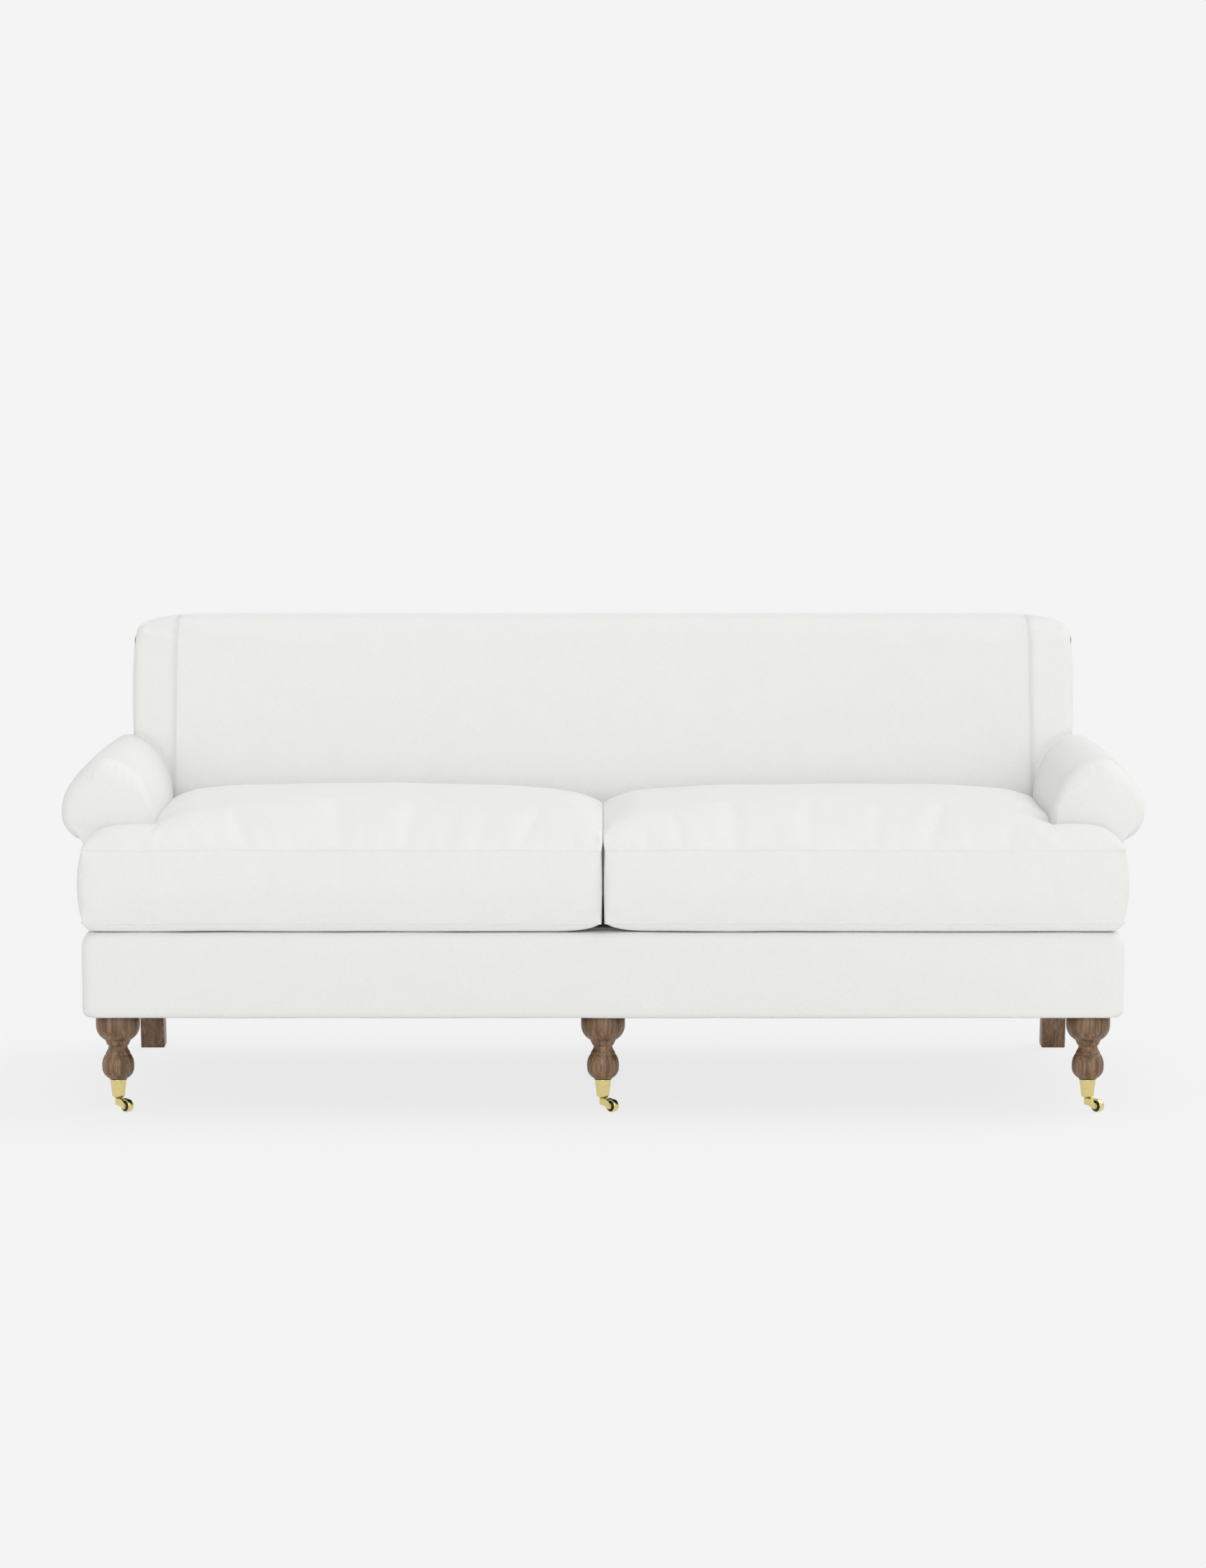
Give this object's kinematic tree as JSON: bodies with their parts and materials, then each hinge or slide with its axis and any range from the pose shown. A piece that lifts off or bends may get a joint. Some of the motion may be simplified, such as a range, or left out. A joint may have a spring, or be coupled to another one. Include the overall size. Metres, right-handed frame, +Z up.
{
  "type": "roll arm sofa",
  "caption": "Upholstered sofa with low rolled arms, a tight back, loose T-shaped seat cushions, turned front legs on castors and raked square rear legs.",
  "frame": {"origin": "on the floor under the middle of the sofa's overall width and depth", "axes": "+X to the right of someone looking at the front, +Y from front to back, +Z up"},
  "size_m": [2.136, 0.94, 0.925],
  "materials": {
    "upholstery": "off-white slubbed linen weave",
    "deck_cloth": "plain cotton decking",
    "dust_cloth": "black spun cambric",
    "frame_wood": "bare kiln-dried hardwood",
    "leg_wood": "satin walnut stain",
    "castor_brass": "polished, pale",
    "wheel_core": "black moulded",
    "spring_steel": "bare spring wire"
  },
  "bodies": {
    "sofa": {"front_seat_rail": "frame_wood", "rear_seat_rail": "frame_wood", "centre_leg_block": "frame_wood", "back_centre_upright": "frame_wood", "back_top_rail": "frame_wood", "back_tack_rail": "frame_wood", "left_seat_rail": "frame_wood", "right_seat_rail": "frame_wood", "left_cross_rail": "frame_wood", "right_cross_rail": "frame_wood", "left_corner_block": "frame_wood", "right_corner_block": "frame_wood", "left_back_post": "frame_wood", "right_back_post": "frame_wood", "left_arm_stump": "frame_wood", "right_arm_stump": "frame_wood", "left_arm_board": "frame_wood", "right_arm_board": "frame_wood", "left_arm_tack_rail": "frame_wood", "right_arm_tack_rail": "frame_wood", "seat_spring_1": "spring_steel", "seat_spring_2": "spring_steel", "seat_spring_3": "spring_steel", "seat_spring_4": "spring_steel", "seat_spring_5": "spring_steel", "seat_spring_6": "spring_steel", "seat_spring_7": "spring_steel", "seat_spring_8": "spring_steel", "front_border": "upholstery", "back_pad": "upholstery", "outside_back": "upholstery", "left_outside_arm": "upholstery", "right_outside_arm": "upholstery", "left_arm_pad": "upholstery", "right_arm_pad": "upholstery", "seat_deck": "deck_cloth", "dust_cover": "dust_cloth", "left_front_leg": "leg_wood", "centre_front_leg": "leg_wood", "right_front_leg": "leg_wood", "left_rear_leg": "leg_wood", "right_rear_leg": "leg_wood", "left_castor_cup": "castor_brass", "centre_castor_cup": "castor_brass", "right_castor_cup": "castor_brass"},
    "left_cushion": {"left_seat_cushion": "upholstery"},
    "right_cushion": {"right_seat_cushion": "upholstery"},
    "left_castor": {"left_castor_horn": "castor_brass", "left_wheel_axle": "castor_brass"},
    "left_wheel": {"left_wheel_tyre": "castor_brass", "left_wheel_core": "wheel_core"},
    "centre_castor": {"centre_castor_horn": "castor_brass", "centre_wheel_axle": "castor_brass"},
    "centre_wheel": {"centre_wheel_tyre": "castor_brass", "centre_wheel_core": "wheel_core"},
    "right_castor": {"right_castor_horn": "castor_brass", "right_wheel_axle": "castor_brass"},
    "right_wheel": {"right_wheel_tyre": "castor_brass", "right_wheel_core": "wheel_core"}
  },
  "joints": [
    {"name": "left_cushion_lift", "type": "slide", "parent": "sofa", "child": "left_cushion", "axis": [0, 0, 1], "range_m": [0, 0.3]},
    {"name": "right_cushion_lift", "type": "slide", "parent": "sofa", "child": "right_cushion", "axis": [0, 0, 1], "range_m": [0, 0.3]},
    {"name": "left_castor_swivel", "type": "hinge", "parent": "sofa", "child": "left_castor", "pos_m": [-0.95, -0.406, 0.026], "axis": [0, 0, 1], "continuous": true},
    {"name": "left_wheel_roll", "type": "hinge", "parent": "left_castor", "child": "left_wheel", "pos_m": [-0.93197, -0.42403, 0.013], "axis": [0.7071, 0.7071, 0], "continuous": true},
    {"name": "centre_castor_swivel", "type": "hinge", "parent": "sofa", "child": "centre_castor", "pos_m": [0, -0.406, 0.026], "axis": [0, 0, 1], "continuous": true},
    {"name": "centre_wheel_roll", "type": "hinge", "parent": "centre_castor", "child": "centre_wheel", "pos_m": [0.01803, -0.42403, 0.013], "axis": [0.7071, 0.7071, 0], "continuous": true},
    {"name": "right_castor_swivel", "type": "hinge", "parent": "sofa", "child": "right_castor", "pos_m": [0.95, -0.406, 0.026], "axis": [0, 0, 1], "continuous": true},
    {"name": "right_wheel_roll", "type": "hinge", "parent": "right_castor", "child": "right_wheel", "pos_m": [0.96803, -0.42403, 0.013], "axis": [0.7071, 0.7071, 0], "continuous": true}
  ]
}
